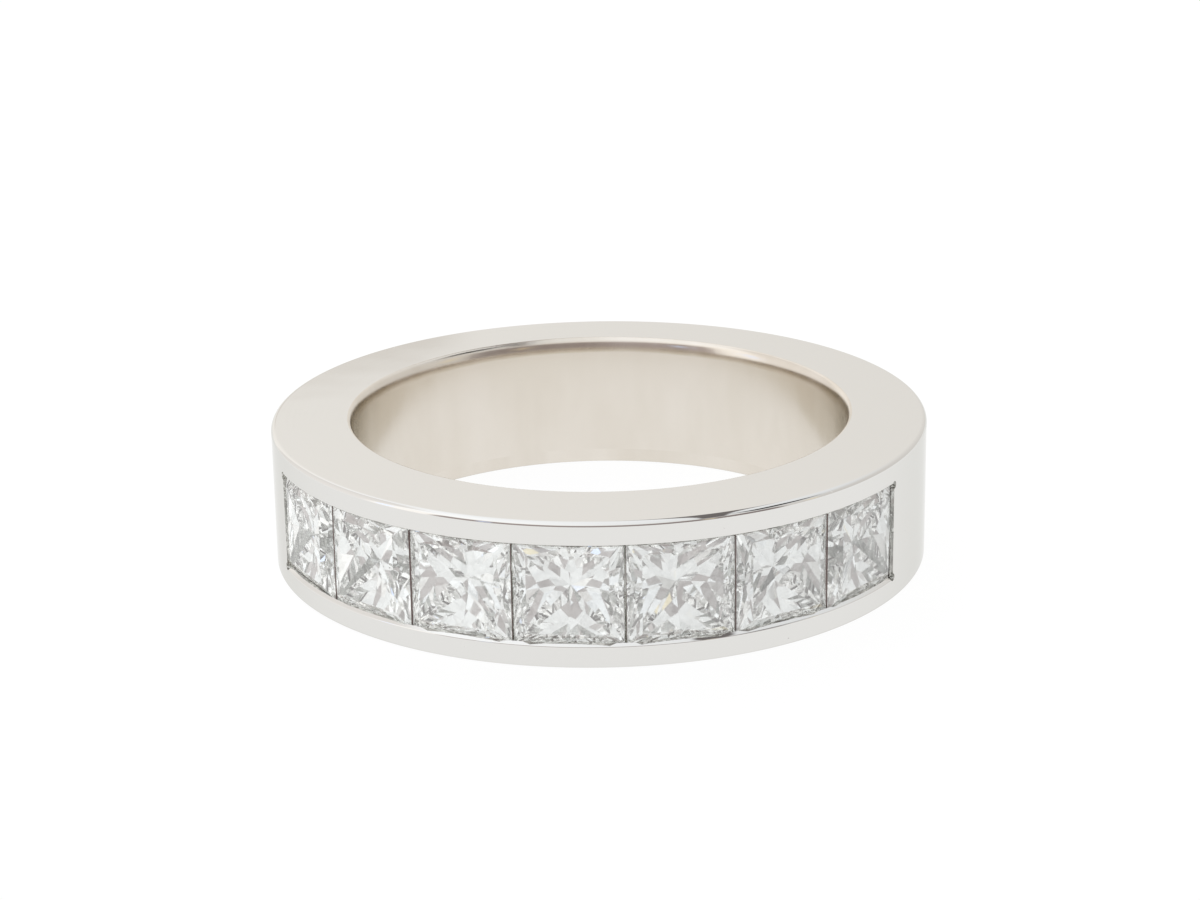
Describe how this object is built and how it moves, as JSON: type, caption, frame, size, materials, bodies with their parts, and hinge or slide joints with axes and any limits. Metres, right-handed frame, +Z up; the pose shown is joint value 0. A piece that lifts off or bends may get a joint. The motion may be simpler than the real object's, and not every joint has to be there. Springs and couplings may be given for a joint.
{
  "type": "half eternity ring",
  "caption": "Half eternity ring: a flat-sided polished white-metal band with square stones set flush in a channel round its front half.",
  "frame": {"origin": "on the finger hole's axis, halfway across the band's width", "axes": "+Z along the finger hole, up as the ring lies on its side; -Y from the finger hole to the middle stone; +X to the right when facing the stones with +Z up"},
  "size_m": [0.0226, 0.0225, 0.005],
  "materials": {
    "white_gold": "polished outside, softer satin polish inside the finger hole",
    "diamond": "polished flat facets"
  },
  "bodies": {
    "root": {"band": "white_gold", "stone_1": "diamond", "stone_2": "diamond", "stone_3": "diamond", "stone_4": "diamond", "stone_5": "diamond", "stone_6": "diamond", "stone_7": "diamond"}
  },
  "joints": []
}
